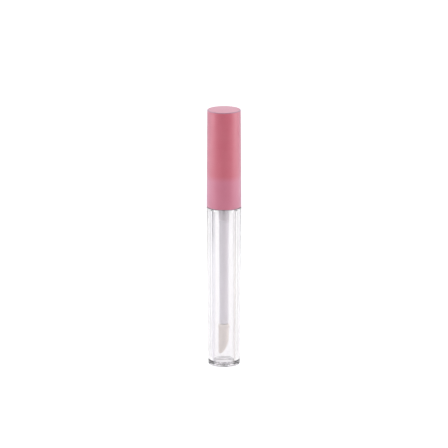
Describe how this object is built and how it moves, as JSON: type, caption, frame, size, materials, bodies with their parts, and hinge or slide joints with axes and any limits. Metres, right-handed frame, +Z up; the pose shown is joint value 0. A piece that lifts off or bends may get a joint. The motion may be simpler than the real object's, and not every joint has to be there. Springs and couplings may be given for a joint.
{
  "type": "lip gloss tube",
  "caption": "Slim empty lip gloss tube: a clear thick-walled bottle with a wiper in its neck and a pink screw cap that carries a frosted wand with a flocked slanted tip.",
  "frame": {"origin": "centre of the foot, at the bottom of the bounding box", "axes": "+Z up the tube's axis from the foot to the cap's top; +X towards the slanted side of the applicator tip"},
  "size_m": [0.016, 0.016, 0.12],
  "materials": {
    "clear_shell": "polished clear moulded plastic, thick-walled",
    "clear_base": "polished clear moulded plastic",
    "soft_insert": "soft milky polyethylene",
    "gasket": "foamed sealing sheet",
    "white_liner": "satin white polypropylene",
    "pink_shell": "satin, slightly translucent pink plastic",
    "frosted_rod": "frosted natural plastic",
    "flocked_tip": "short off-white flock"
  },
  "bodies": {
    "bottle": {"bottle": "clear_shell", "base_plug": "clear_base"},
    "wiper": {"wiper": "soft_insert"},
    "washer": {"seal_washer": "gasket"},
    "cap": {"outer_cap": "pink_shell", "inner_cap": "white_liner", "wand_rod": "frosted_rod", "applicator_tip": "flocked_tip"}
  },
  "joints": [
    {"name": "cap_turn", "type": "hinge", "parent": "bottle", "child": "wiper", "pos_m": [0, 0, 0.0862], "axis": [0, 0, 1], "range_deg": [0, 540]},
    {"name": "wand_pull", "type": "slide", "parent": "wiper", "child": "washer", "axis": [0, 0, 1], "range_m": [0, 0.095], "deforming": ["wiper"]},
    {"name": "cap_rise", "type": "slide", "parent": "washer", "child": "cap", "axis": [0, 0, 1], "range_m": [0, 0.00375]}
  ],
  "couplings": [
    {"joint": "cap_rise", "follows": "cap_turn", "m_per_rad": 0.00039789}
  ]
}
